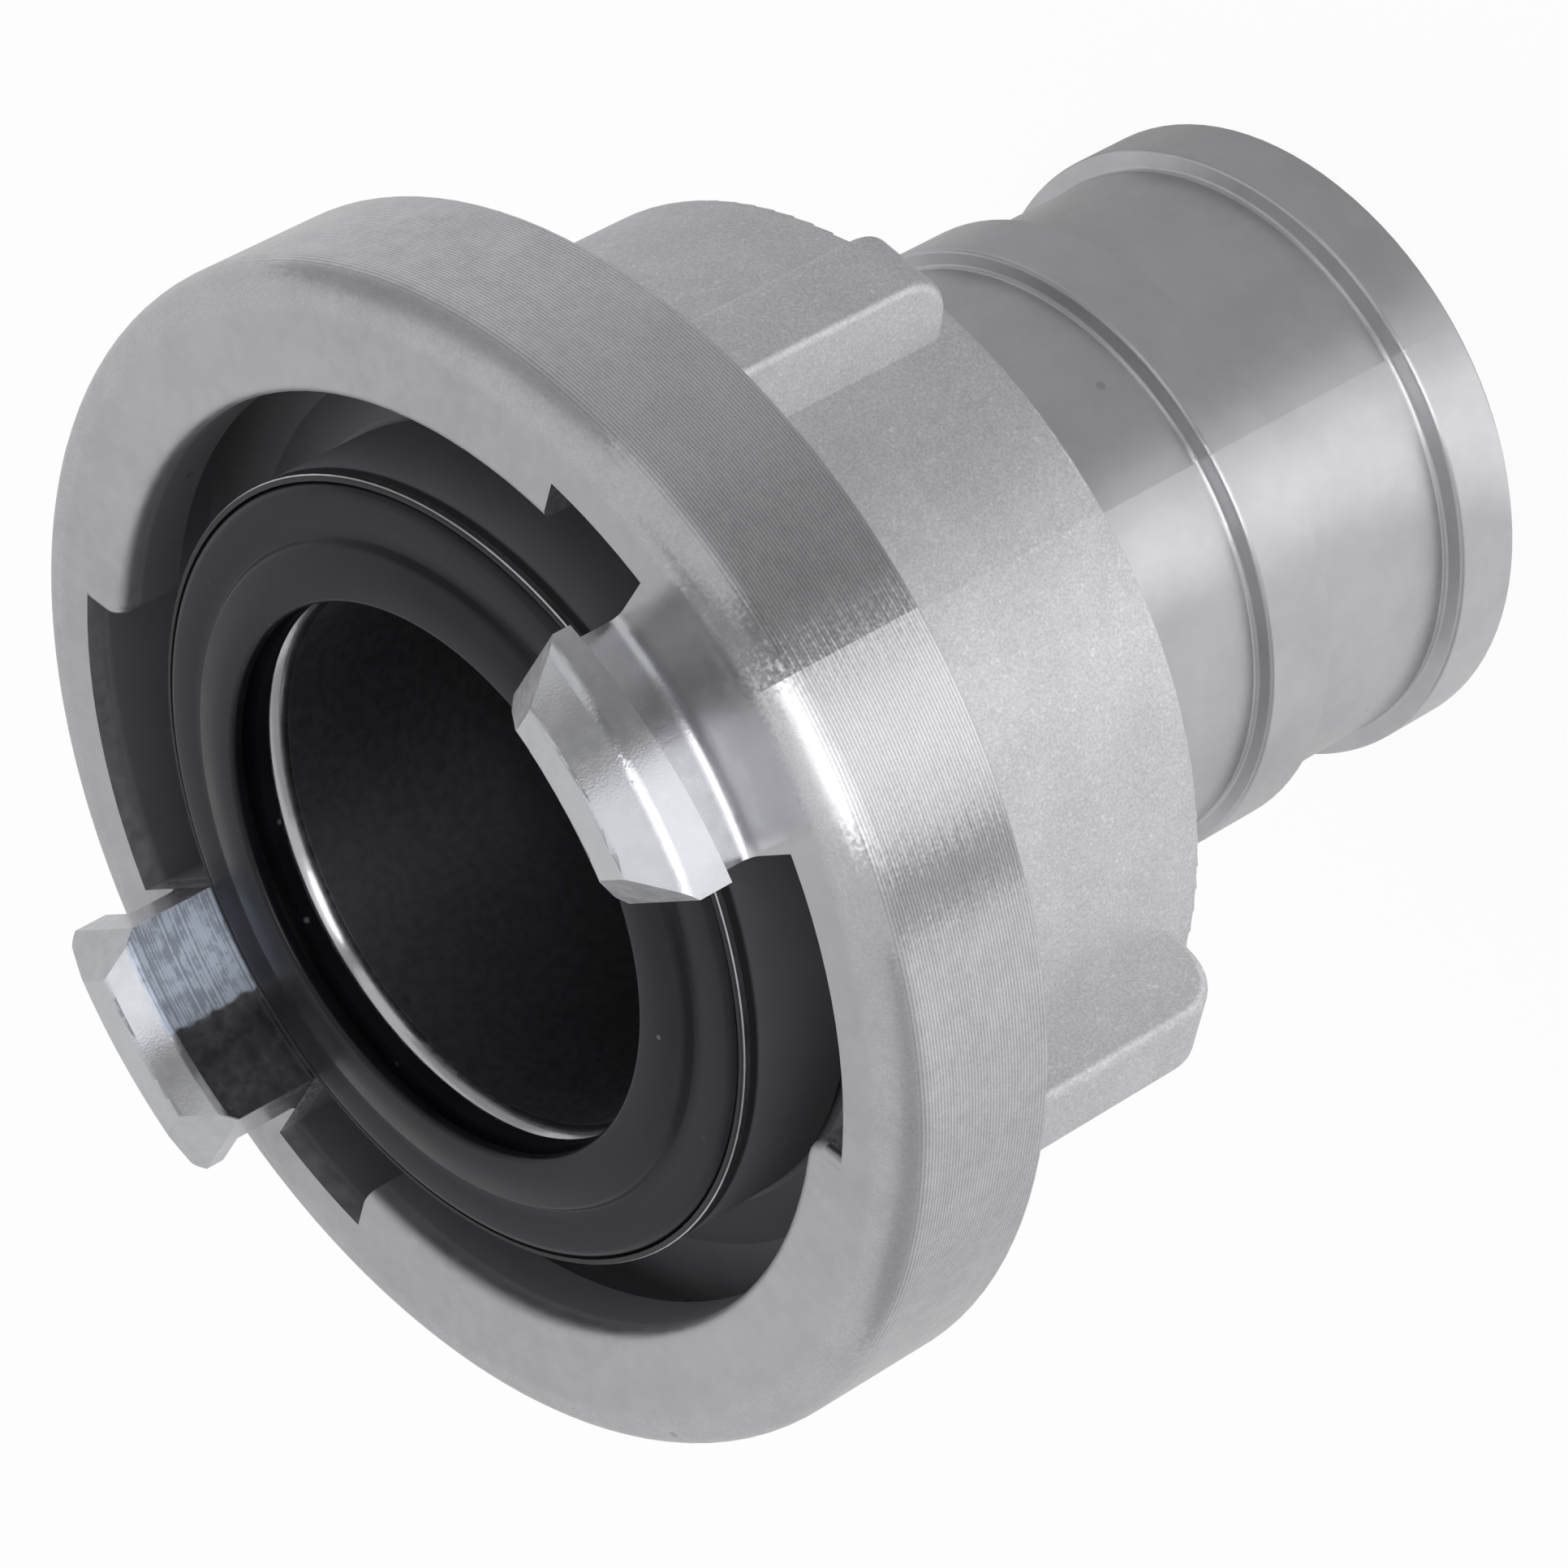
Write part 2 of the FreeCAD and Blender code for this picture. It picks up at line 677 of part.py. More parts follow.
for body in (ring, tail, seal, snap):
    shape = body.Shape
    if shape.isNull() or not shape.isValid() or len(shape.Solids) != 1:
        raise RuntimeError(f"{body.Label} has no valid single solid")
    shape.exportStep(f"parts/{body.Label}.step")
    print(body.Label, round(shape.Volume, 1), shape.BoundBox)
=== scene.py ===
import math

import bmesh
import bpy
from bpy.props import FloatProperty, FloatVectorProperty, IntProperty, PointerProperty
from mathutils import Matrix, Vector


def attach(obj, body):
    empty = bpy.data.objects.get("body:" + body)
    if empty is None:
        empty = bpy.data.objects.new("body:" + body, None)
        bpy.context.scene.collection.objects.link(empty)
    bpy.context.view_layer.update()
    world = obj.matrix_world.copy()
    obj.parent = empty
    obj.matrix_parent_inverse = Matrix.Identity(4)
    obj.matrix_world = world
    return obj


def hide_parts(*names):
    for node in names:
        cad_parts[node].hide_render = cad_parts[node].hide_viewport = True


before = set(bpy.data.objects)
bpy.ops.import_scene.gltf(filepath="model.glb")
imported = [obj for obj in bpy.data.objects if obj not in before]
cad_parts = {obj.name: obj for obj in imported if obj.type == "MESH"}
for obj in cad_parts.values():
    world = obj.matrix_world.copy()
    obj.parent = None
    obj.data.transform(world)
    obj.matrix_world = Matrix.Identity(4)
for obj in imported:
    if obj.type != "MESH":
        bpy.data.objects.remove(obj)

bl_info = {
    "name": "Quarter turn fire hose coupling",
    "version": (1, 0, 0),
    "blender": (4, 5, 0),
    "location": "View3D > Sidebar > Coupling",
    "description": "Rubber seal, metal finishes and studio for a quarter turn fire hose coupling",
    "category": "Object",
}

# All sizes are in metres, and the coupling stands on the end of its hose tail with +Z up.
MM = 0.001

# Where one finish of the claw ring passes into the next: radii from the axis, then heights
CLAW_INNER_RADII = (33.15 * MM, 33.30 * MM)
CHAMBER_WALL_RADII = (42.70 * MM, 42.80 * MM)
RIM_RADII = (45.2 * MM, 46.2 * MM)
RIM_STRAIGHT_RADII = (48.6 * MM, 48.9 * MM)
COLLAR_TOP_HEIGHTS = (75.0 * MM, 75.3 * MM)
RIM_REAR_HEIGHTS = (75.3 * MM, 75.6 * MM)
CHAMBER_FLOOR_HEIGHTS = (76.0 * MM, 77.0 * MM)
LIP_REAR_HEIGHTS = (88.0 * MM, 89.3 * MM)
CLAW_FOOT_HEIGHTS = (90.55 * MM, 90.75 * MM)

# The same for the hose tail
BORE_WALL_RADII = (22.6 * MM, 22.8 * MM)
FLANGE_RADII = (28.2 * MM, 28.6 * MM)
FLANGE_EDGE_RADII = (32.48 * MM, 32.52 * MM)
BORE_TOP_HEIGHTS = (87.0 * MM, 87.2 * MM)
MOUTH_HEIGHTS = (87.1 * MM, 87.2 * MM)
SEAT_RIM_HEIGHTS = (89.2 * MM, 89.6 * MM)
FLANGE_EDGE_HEIGHTS = (90.2 * MM, 90.3 * MM)
TOOL_LINE_HEIGHT = 21.0 * MM
TOOL_LINE_HALF_WIDTH = 0.12 * MM

# Sizes of the marks and grains
GROOVE_PITCH = 0.31 * MM
RIM_MARK_PITCH = 0.34 * MM
FACE_MARK_PITCH = 0.5 * MM
TAIL_MARK_PITCH = 0.5 * MM
STREAK_PITCH = 0.25 * MM
LEAN_PITCH = 0.3 * MM
CHATTER_LENGTH = 0.35 * MM
WIRE_MARK_PITCH = 0.2 * MM
GRAIN_WIDTH = 0.22 * MM
SPARKLE_WIDTH = 0.28 * MM
SPECK_SPACING = 9.0 * MM
DUST_SPACING = 2.6 * MM

# Brightness of the floor card around the part, by angle in degrees, close by and farther out
NEAR_LEVELS = (
    (-180.0, 0.60),
    (-102.0, 0.65),
    (-72.0, 0.78),
    (-38.0, 0.79),
    (-30.0, 1.05),
    (-20.0, 1.20),
    (-9.0, 1.08),
    (1.0, 0.72),
    (11.0, 0.44),
    (20.0, 0.39),
    (100.0, 0.41),
    (135.0, 0.60),
)
FAR_LEVELS = (
    (-180.0, 0.68),
    (-112.0, 0.71),
    (-82.0, 0.79),
    (-60.0, 0.92),
    (-45.0, 0.96),
    (-41.0, 0.45),
    (-34.0, 0.40),
    (-31.0, 0.95),
    (-17.0, 1.20),
    (-6.0, 1.10),
    (0.0, 0.88),
    (2.0, 0.38),
    (5.0, 0.25),
    (20.0, 0.25),
    (41.0, 0.42),
    (62.0, 0.56),
    (83.0, 0.66),
    (120.0, 0.72),
)

# Cards and screens of one brightness: name, brightness, and both ends in X, Y and Z
PLAIN_CARDS = (
    ("light_card", 0.85, (-0.15, 0.40), (-0.110, 0.008), (0.5, 0.5)),
    ("dark_card", 0.30, (-0.15, 0.40), (0.008, 0.100), (0.5, 0.5)),
    ("light_screen", 1.7, (0.40, 0.40), (-0.200, 0.008), (0.0, 0.5)),
    ("light_strip", 10.0, (0.39, 0.39), (-0.200, 0.008), (0.30, 0.33)),
    ("dark_screen", 0.20, (0.40, 0.40), (0.008, 0.100), (0.0, 0.5)),
)
# Screens beside the part: name, brightness and place in Y, then what both share
SIDE_SCREENS = (("left_screen", 0.35, 0.60), ("right_screen", 0.40, -0.60))
SIDE_SCREEN_LENGTH = 0.9
SIDE_SCREEN_HEIGHT = 0.6
SIDE_SCREEN_MIDDLE_X = 0.10
SIDE_SCREEN_MIDDLE_Z = 0.30

# Card on the floor, and the rings in which its brightness changes
FLOOR_CARD_SIZE = 1.2
FLOOR_CARD_HEIGHT = 0.4 * MM
FLOOR_CARD_MIDDLE_LEVEL = 0.04
FLOOR_CARD_MIDDLE_RADII = (20.0 * MM, 27.0 * MM)
FLOOR_CARD_FAR_RADII = (105.0 * MM, 130.0 * MM)

FLOOR_SIZE = 8.0
# How much of the floor's look to the camera is plain white, and how much its own shading
FLOOR_WHITE_SHARE = 0.95

# Camera of the photograph: focal length and sensor in millimetres, place, and turn as a matrix
CAMERA_LENS = 181.594
CAMERA_SENSOR = 36.0
CAMERA_PLACE = (0.50651090, -0.00820999, 0.40796685)
CAMERA_TURN = (
    (0.49437079, 0.27668202, 0.82404161),
    (-0.48436482, 0.87486041, -0.00315800),
    (-0.72179515, -0.39757555, 0.56652047),
)


def linear(code):
    """Turn an sRGB hex colour into linear values."""
    values = []
    for start in (1, 3, 5):
        part = int(code[start:start + 2], 16) / 255
        values.append(part / 12.92 if part <= 0.04045 else ((part + 0.055) / 1.055) ** 2.4)
    return tuple(values)


def colour(name, code, description):
    """Setting for a colour, given as an sRGB hex value."""
    return FloatVectorProperty(
        name=name,
        description=description,
        subtype="COLOR",
        size=3,
        min=0.0,
        max=1.0,
        default=linear(code),
    )


def length(name, value, description):
    """Setting for a length in metres."""
    return FloatProperty(
        name=name,
        description=description,
        default=value,
        min=0.0,
        unit="LENGTH",
        subtype="DISTANCE",
        precision=5,
    )


class SealSettings(bpy.types.PropertyGroup):
    """Sizes and colour of the face seal."""

    seat_height: length("Seat height", 88.85 * MM, "Height of the seat that the seal lies in")
    band_height: length("Band height", 91.4 * MM, "Height of the outer band of the seal")
    face_height: length("Face height", 92.5 * MM, "Height of the sealing face")
    face_width: length("Face width", 2.2 * MM, "Width of the flat sealing face")
    face_fall: length("Face fall", 0.5 * MM, "How far the face falls towards the outer band")
    outer_radius: length("Outer radius", 32.0 * MM, "Outer radius of the seal")
    step_radius: length("Step radius", 27.8 * MM, "Radius where the outer band ends")
    inner_radius: length("Inner radius", 22.9 * MM, "Radius of the opening of the seal")
    groove_depth: length("Groove depth", 2.0 * MM, "Depth of the groove behind the inner lip")
    lip_thickness: length("Lip thickness", 1.1 * MM, "Thickness of the inner lip")
    steps: IntProperty(
        name="Steps", description="Steps of the spin around the axis", default=192, min=24
    )
    rubber: colour("Rubber", "#19191F", "Colour of the black moulded rubber")


class MetalSettings(bpy.types.PropertyGroup):
    """Colours of the metal finishes, with the painted shade and painted highlight colours among
    them.
    """

    turned: colour("Turned rim", "#CCCBCE", "Turned rim of the claw ring")
    satin: colour("Satin face", "#CBCACD", "Front face of the claw ring")
    blasted: colour("Blasted collar", "#DCDBDE", "Blasted collar with the wrench ribs")
    claw: colour("Claw", "#D8D9DE", "Bright machined claws")
    # painted highlight: pale blue for the light that one half of the claws' inner faces mirrors
    painted_reflection_tint: colour("Burnished", "#CDD8E8", "Inner faces of the claws, rubbed bright")
    # painted shade: darker colour inside the chamber, where shade falls
    chamber: colour("Chamber", "#7E7E82", "Dark skin inside the chamber behind the lip")
    tail: colour("Hose tail", "#CBCACD", "Satin skin of the hose tail")
    # painted shade: darker colour down the bore, where shade falls
    bore: colour("Bore", "#646469", "Dark skin of the waterway")
    # painted shade: near black rim around the seal, in the gap between the seal and the claw ring
    seat: colour("Seat", "#2E2E31", "Rim around the seal, black from the rubber")
    spring: colour("Spring", "#A9ABB0", "Drawn wire of the retaining ring")


class StageSettings(bpy.types.PropertyGroup):
    """Levels of the studio."""

    floor: colour("Floor", "#E9E9E9", "Colour of the pale floor")
    key_power: FloatProperty(
        name="Key lamp", description="Power of the large soft lamp", default=3.0, unit="POWER"
    )
    world_level: FloatProperty(
        name="World level", description="Brightness of the room", default=0.67, min=0.0
    )


# Helpers for node trees

def add(tree, kind, inputs=None, **fields):
    """Add a node, set its fields, and fill or link its inputs."""
    node = tree.nodes.new(kind)
    for field, value in fields.items():
        setattr(node, field, value)
    for key, value in (inputs or {}).items():
        socket = node.inputs[key]
        if isinstance(value, bpy.types.NodeSocket):
            tree.links.new(value, socket)
        else:
            socket.default_value = value
    return node


def new_material(name):
    """Make an empty node material and return it with its tree."""
    material = bpy.data.materials.new(name)
    material.use_nodes = True
    material.node_tree.nodes.clear()
    return material, material.node_tree


def radius_and_height(tree):
    """Object position, distance from the axis, and height, in metres."""
    place = add(tree, "ShaderNodeTexCoord").outputs["Object"]
    parts = add(tree, "ShaderNodeSeparateXYZ", {0: place})
    flat = add(tree, "ShaderNodeCombineXYZ", {0: parts.outputs[0], 1: parts.outputs[1]})
    away = add(tree, "ShaderNodeVectorMath", {0: flat.outputs[0]}, operation="LENGTH")
    return place, parts, away.outputs["Value"], parts.outputs[2]


def ramp(tree, value, start, end, low=0.0, high=1.0):
    """Smooth change from low to high while the value goes from start to end."""
    node = add(
        tree,
        "ShaderNodeMapRange",
        {0: value, 1: start, 2: end, 3: low, 4: high},
        interpolation_type="SMOOTHSTEP",
    )
    return node.outputs[0]


def spread(tree, value, low, high):
    """Stretch noise, most of which lies between 0.3 and 0.7, to run from low to high."""
    return ramp(tree, value, 0.3, 0.7, low, high)


def inverse(tree, mask):
    """A mask turned round: 1 where it is 0."""
    return ramp(tree, mask, 0.0, 1.0, 1.0, 0.0)


def times(tree, *values):
    """Product of several values."""
    result = values[0]
    for value in values[1:]:
        result = add(tree, "ShaderNodeMath", {0: result, 1: value}, operation="MULTIPLY").outputs[0]
    return result


def plus(tree, *values):
    """Sum of several values."""
    result = values[0]
    for value in values[1:]:
        result = add(tree, "ShaderNodeMath", {0: result, 1: value}, operation="ADD").outputs[0]
    return result


def blend(tree, factor, first, second):
    """Mix two colours by a factor."""
    node = add(tree, "ShaderNodeMix", {0: factor}, data_type="RGBA")
    for index, value in ((6, first), (7, second)):
        if isinstance(value, bpy.types.NodeSocket):
            tree.links.new(value, node.inputs[index])
        else:
            node.inputs[index].default_value = (*value[:3], 1.0)
    return node.outputs[2]


def around_axis(tree, parts):
    """Direction of the turning marks, around the Z axis."""
    back = add(tree, "ShaderNodeMath", {0: parts.outputs[1], 1: -1.0}, operation="MULTIPLY")
    turn = add(tree, "ShaderNodeCombineXYZ", {0: back.outputs[0], 1: parts.outputs[0]})
    unit = add(tree, "ShaderNodeVectorMath", {0: turn.outputs[0]}, operation="NORMALIZE")
    moved = add(
        tree,
        "ShaderNodeVectorTransform",
        {0: unit.outputs[0]},
        vector_type="VECTOR",
        convert_from="OBJECT",
        convert_to="WORLD",
    )
    return moved.outputs[0]


def noise(tree, place, size, detail=2.0, roughness=0.5):
    """Even noise whose features are about the given size in metres."""
    return add(
        tree,
        "ShaderNodeTexNoise",
        {"Vector": place, "Scale": 1.0 / size, "Detail": detail, "Roughness": roughness},
    ).outputs["Fac"]


def noise_along(tree, value, size, detail=2.0):
    """Noise that changes only with one value, such as the height."""
    return add(
        tree,
        "ShaderNodeTexNoise",
        {"W": value, "Scale": 1.0 / size, "Detail": detail},
        noise_dimensions="1D",
    ).outputs["Fac"]


def cell_pattern(tree, place, size):
    """Cells of about the given size: distance from each cell's middle, and its random colour."""
    cells = add(tree, "ShaderNodeTexVoronoi", {"Vector": place, "Scale": 1.0 / size})
    drawn = add(tree, "ShaderNodeSeparateColor", {0: cells.outputs["Color"]})
    return cells.outputs["Distance"], drawn.outputs


def scaled(tree, skin, shade):
    """A colour made darker or lighter by a factor."""
    node = add(tree, "ShaderNodeVectorMath", {0: skin, 3: shade}, operation="SCALE")
    return node.outputs[0]


def bumped(tree, relief):
    """Normal of a surface with the given relief, in metres."""
    node = add(tree, "ShaderNodeBump", {"Height": relief, "Distance": 1.0, "Strength": 1.0})
    return node.outputs[0]


def dark_specks(tree, place):
    """A few dark specks up to a millimetre wide, one to about 15 square centimetres."""
    distance, drawn = cell_pattern(tree, place, SPECK_SPACING)
    near = ramp(tree, distance, 0.03, 0.06, 1.0, 0.0)
    return times(tree, near, ramp(tree, drawn[0], 0.55, 0.60))


def turned_lines(tree, normal, tangent, place, height, pitch, tilt):
    """Lean the surface a little along the marks, line by line, to break up what it mirrors."""
    lines = noise_along(tree, height, pitch, 1.0)
    chatter = noise(tree, place, CHATTER_LENGTH, 1.0)
    lean = plus(tree, spread(tree, lines, -1.0, 1.0), spread(tree, chatter, -1.3, 1.3))
    side = add(
        tree, "ShaderNodeVectorMath", {0: tangent, 3: times(tree, lean, tilt)}, operation="SCALE"
    ).outputs[0]
    summed = add(tree, "ShaderNodeVectorMath", {0: normal, 1: side}, operation="ADD").outputs[0]
    return add(tree, "ShaderNodeVectorMath", {0: summed}, operation="NORMALIZE").outputs[0]


# Materials

def ring_material(metal):
    """Forged aluminium ring: rim and face turned, collar blasted, chamber darkened with painted
    shade.

    Turning gives the rim fine lines, partly as relief and partly as painted light and shade, and a
    sheen drawn out across them, and blasting gives the collar an even grain without a mirror image.
    """
    material, tree = new_material("forged_aluminium_ring")
    place, parts, away, height = radius_and_height(tree)

    # where each finish lies, read from the distance to the axis and the height
    rim = ramp(tree, away, *RIM_RADII)
    low = ramp(tree, height, *COLLAR_TOP_HEIGHTS, 1.0, 0.0)
    chamber = times(
        tree,
        ramp(tree, away, *CHAMBER_WALL_RADII, 1.0, 0.0),
        ramp(tree, height, *LIP_REAR_HEIGHTS, 1.0, 0.0),
        ramp(tree, height, *CHAMBER_FLOOR_HEIGHTS),
    )
    above = ramp(tree, height, *CLAW_FOOT_HEIGHTS)
    turned = times(tree, rim, ramp(tree, height, *RIM_REAR_HEIGHTS))
    straight = ramp(tree, away, *RIM_STRAIGHT_RADII)

    # turning lines, as far apart as the photograph shows them on the straight part of the rim
    phase = times(tree, height, 2.0 * math.pi / GROOVE_PITCH)
    groove = add(tree, "ShaderNodeMath", {0: phase}, operation="SINE").outputs[0]
    rim_marks = noise_along(tree, height, RIM_MARK_PITCH, 3.0)
    face_marks = noise_along(tree, away, FACE_MARK_PITCH, 2.0)
    # blasted grain and its glints, drawn about twice as wide as real so that they show
    grain = noise(tree, place, GRAIN_WIDTH, 2.0, 0.6)
    drawn = cell_pattern(tree, place, SPARKLE_WIDTH)[1]
    sparkle = ramp(tree, drawn[0], 0.90, 1.0)
    # cloudy unevenness of the skin, coarse and fine
    mottle = noise(tree, place, 5.0 * MM, 3.0, 0.6)
    fine = noise(tree, place, 1.2 * MM, 3.0, 0.6)
    specks = dark_specks(tree, place)

    # inner faces of the claws: X times Y tells the half with a painted highlight from the half with
    # painted shade
    inner = times(tree, above, ramp(tree, away, *CLAW_INNER_RADII, 1.0, 0.0))
    patches = noise(tree, place, 1.6 * MM, 3.0, 0.6)
    streaks = noise_along(tree, height, STREAK_PITCH, 2.0)
    side = times(tree, parts.outputs[0], parts.outputs[1])
    uneven = plus(tree, side, spread(tree, patches, -8e-6, 8e-6))
    # painted highlight on one half of the claws' inner faces, darker painted streaks in it, and
    # painted shade on the other half
    painted_highlight_half = times(tree, inner, ramp(tree, uneven, -1e-5, 1e-5, 1.0, 0.0))
    plain = times(tree, inner, inverse(tree, painted_highlight_half))
    painted_streak_shade = times(tree, painted_highlight_half, ramp(tree, plus(tree, patches, streaks), 0.90, 1.10))

    skin = blend(tree, low, metal.satin, metal.blasted)
    skin = blend(tree, rim, skin, metal.turned)
    skin = blend(tree, above, skin, metal.claw)
    # painted highlight: one half of the claws' inner faces takes the pale blue colour
    skin = blend(tree, painted_highlight_half, skin, metal.painted_reflection_tint)
    # painted shade inside the chamber behind the lip
    skin = blend(tree, chamber, skin, metal.chamber)
    # share of the colour that is left: less where grained or specked, more at painted glints, and
    # painted light and shade on the rim's turning lines and on the claws' inner faces
    shade = plus(
        tree,
        spread(tree, mottle, 0.955, 1.02),
        times(tree, low, ramp(tree, grain, 0.35, 0.65, -0.09, 0.08)),
        times(tree, low, sparkle, 0.12),
        times(tree, turned, ramp(tree, grain, 0.35, 0.65, -0.05, 0.05)),
        # painted light and shade: stripes of the turning lines on the straight rim, for what the
        # grooves mirror
        times(tree, turned, straight, ramp(tree, groove, -0.6, 0.6, -0.18, 0.14)),
        # painted streaks in the claws' highlight half, and painted shade on their other half
        times(tree, painted_streak_shade, -0.40),
        times(tree, plain, -0.45),
        times(tree, specks, -0.30),
    )
    tinted = scaled(tree, skin, shade)

    # the face has the first value, and the other finishes differ from it
    rough = plus(
        tree,
        0.34,
        times(tree, low, 0.20),
        times(tree, chamber, 0.16),
        times(tree, above, -0.10),
        times(tree, painted_highlight_half, 0.24),
        times(tree, turned, -0.06),
        spread(tree, fine, -0.03, 0.04),
    )
    matt = add(tree, "ShaderNodeMath", {0: low, 1: chamber}, operation="MAXIMUM").outputs[0]
    stretch = ramp(tree, matt, 0.0, 1.0, 0.93, 0.0)

    # depth of the marks in metres, with none of the grain on the claws' inner faces
    relief = plus(
        tree,
        times(tree, rim_marks, turned, 4e-6),
        times(tree, face_marks, 1.0e-6),
        times(tree, grain, low, 14e-6),
        times(tree, fine, 3e-6),
        times(tree, grain, above, ramp(tree, inner, 0.0, 1.0, 6e-6, 0.0)),
    )
    normal = bumped(tree, relief)
    tangent = around_axis(tree, parts)
    tilt = times(tree, turned, 0.014)
    shader = add(
        tree,
        "ShaderNodeBsdfPrincipled",
        {
            "Base Color": tinted,
            "Metallic": ramp(tree, chamber, 0.0, 1.0, 1.0, 0.4),
            "Roughness": rough,
            "Anisotropic": stretch,
            "Anisotropic Rotation": 0.25,
            "Tangent": tangent,
            "Normal": turned_lines(tree, normal, tangent, place, height, LEAN_PITCH, tilt),
        },
    )
    add(tree, "ShaderNodeOutputMaterial", {0: shader.outputs[0]})
    return material


def tail_material(metal):
    """Forged aluminium tail with a satin turned skin, and painted shade in the bore and on the
    flange behind the seal.

    The satin skin mirrors the cards softly, drawn out across the turning marks.
    """
    material, tree = new_material("satin_aluminium_tail")
    place, parts, away, height = radius_and_height(tree)
    bore = times(
        tree,
        ramp(tree, away, *BORE_WALL_RADII, 1.0, 0.0),
        ramp(tree, height, *BORE_TOP_HEIGHTS, 1.0, 0.0),
    )
    # the outermost 0.1 mm of the rim around the seal is left out of the painted shade, so that it
    # shows bright
    unshaded_rim_edge = times(
        tree,
        ramp(tree, away, *FLANGE_EDGE_RADII),
        ramp(tree, height, *FLANGE_EDGE_HEIGHTS),
    )
    flange = times(tree, ramp(tree, away, *FLANGE_RADII), inverse(tree, unshaded_rim_edge))
    mouth = times(tree, ramp(tree, height, *MOUTH_HEIGHTS), inverse(tree, flange))
    marks = noise_along(tree, height, TAIL_MARK_PITCH, 3.0)
    fine = noise(tree, place, 0.9 * MM, 3.0, 0.6)
    mottle = noise(tree, place, 6.0 * MM, 3.0, 0.6)
    top = times(tree, flange, ramp(tree, height, *SEAT_RIM_HEIGHTS))
    # painted shade: the flange behind the seal takes the dark chamber colour and its rim the near
    # black seat colour, all but the outermost edge
    skin = blend(tree, flange, metal.tail, metal.chamber)
    skin = blend(tree, top, skin, metal.seat)
    # painted shade down the bore
    skin = blend(tree, bore, skin, metal.bore)
    shade = plus(
        tree,
        spread(tree, mottle, 0.95, 1.03),
        times(tree, dark_specks(tree, place), -0.30),
    )
    tinted = scaled(tree, skin, shade)
    rough = plus(
        tree,
        0.31,
        times(tree, bore, 0.2),
        times(tree, flange, 0.18),
        times(tree, mouth, -0.10),
        spread(tree, fine, -0.03, 0.04),
    )
    # fine line left by the turning tool between the barbs
    at_line = add(
        tree,
        "ShaderNodeMath",
        {0: height, 1: TOOL_LINE_HEIGHT, 2: TOOL_LINE_HALF_WIDTH},
        operation="COMPARE",
    ).outputs[0]
    line = times(tree, at_line, inverse(tree, bore))
    # depth of the marks in metres
    relief = plus(
        tree,
        times(tree, marks, 2.0e-6),
        times(tree, fine, 4e-6),
        times(tree, line, -1.2e-5),
    )
    shader = add(
        tree,
        "ShaderNodeBsdfPrincipled",
        {
            "Base Color": tinted,
            "Metallic": ramp(tree, flange, 0.0, 1.0, 1.0, 0.3),
            "Roughness": rough,
            "Anisotropic": 0.6,
            "Anisotropic Rotation": 0.25,
            "Tangent": around_axis(tree, parts),
            "Normal": bumped(tree, relief),
        },
    )
    add(tree, "ShaderNodeOutputMaterial", {0: shader.outputs[0]})
    return material


def spring_material(metal):
    """Drawn spring steel: bright, with fine marks along the wire that break up its gleam."""
    material, tree = new_material("drawn_spring_steel")
    height = radius_and_height(tree)[3]
    marks = noise_along(tree, height, WIRE_MARK_PITCH, 2.0)
    rough = spread(tree, marks, 0.25, 0.38)
    shader = add(
        tree,
        "ShaderNodeBsdfPrincipled",
        {"Base Color": (*metal.spring, 1.0), "Metallic": 1.0, "Roughness": rough},
    )
    add(tree, "ShaderNodeOutputMaterial", {0: shader.outputs[0]})
    return material


def rubber_material(seal):
    """Moulded nitrile rubber: black with a soft sheen and a little pale dust.

    The mould leaves it smooth, so its edges and bevels catch soft streaks of light.
    """
    material, tree = new_material("moulded_nitrile_rubber")
    place = radius_and_height(tree)[0]
    cloud = noise(tree, place, 7.0 * MM, 3.0, 0.6)
    grain = noise(tree, place, 0.35 * MM, 2.0, 0.6)
    distance, drawn = cell_pattern(tree, place, DUST_SPACING)
    dust = times(
        tree, ramp(tree, distance, 0.05, 0.13, 1.0, 0.0), ramp(tree, drawn[1], 0.80, 0.95)
    )
    tinted = scaled(tree, (*seal.rubber,), spread(tree, cloud, 0.85, 1.15))
    pale_dust = linear("#8A8A8C")
    skin = blend(tree, times(tree, dust, 0.5), tinted, pale_dust)
    rough = plus(tree, spread(tree, cloud, 0.24, 0.34), times(tree, dust, 0.3))
    shader = add(
        tree,
        "ShaderNodeBsdfPrincipled",
        {
            "Base Color": skin,
            "Roughness": rough,
            "Specular IOR Level": 0.28,
            "Normal": bumped(tree, times(tree, grain, 6e-6)),
        },
    )
    add(tree, "ShaderNodeOutputMaterial", {0: shader.outputs[0]})
    return material


# Modelling

def deselect_all():
    """Deselect every object, so that an operator acts on the new one alone."""
    for item in bpy.context.selected_objects:
        item.select_set(False)


def select_corners(piece, places):
    """Select the outline's corners that lie at the given radius and height."""
    close = 0.01 * MM
    mesh = bmesh.from_edit_mesh(piece.data)
    for vertex in mesh.verts:
        spot = piece.matrix_world @ vertex.co
        near = any(abs(spot.x - x) + abs(spot.z - z) < close for x, z in places)
        vertex.select_set(near)
    mesh.select_flush_mode()
    bmesh.update_edit_mesh(piece.data)


